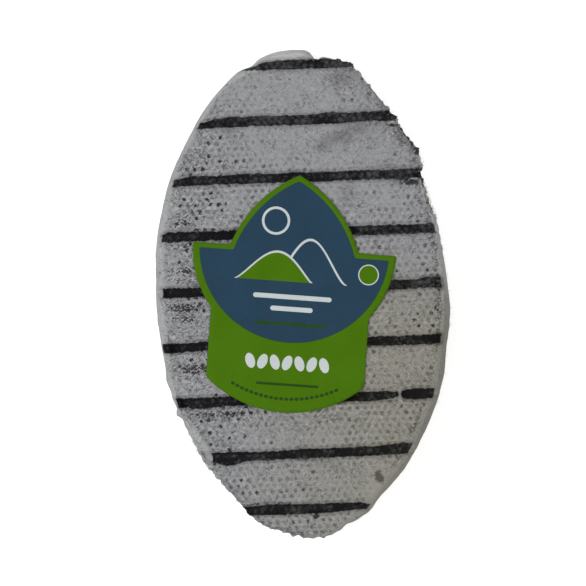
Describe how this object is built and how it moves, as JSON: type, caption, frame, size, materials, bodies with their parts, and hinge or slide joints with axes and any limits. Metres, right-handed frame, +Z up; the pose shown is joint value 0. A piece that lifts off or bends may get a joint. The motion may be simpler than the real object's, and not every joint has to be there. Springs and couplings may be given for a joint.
{
  "type": "ash-coated goat cheese",
  "caption": "Flat oval soft cheese with an ash and mould rind, net marks, rack grooves across its face and a die-cut paper label.",
  "frame": {"origin": "middle of the oval on the plane the cheese rests on", "axes": "+Z up out of the labelled face, +Y along the oval's long axis towards the label's pointed arch, +X to the right with the grooves"},
  "size_m": [0.0936, 0.1561, 0.0262],
  "materials": {
    "rind": "dull grey-white mould bloom over black ash, darker in the grooves",
    "label_paper": "coated label paper printed in plain green and blue fields"
  },
  "bodies": {
    "root": {"cheese": "rind", "label": "label_paper"}
  },
  "joints": []
}
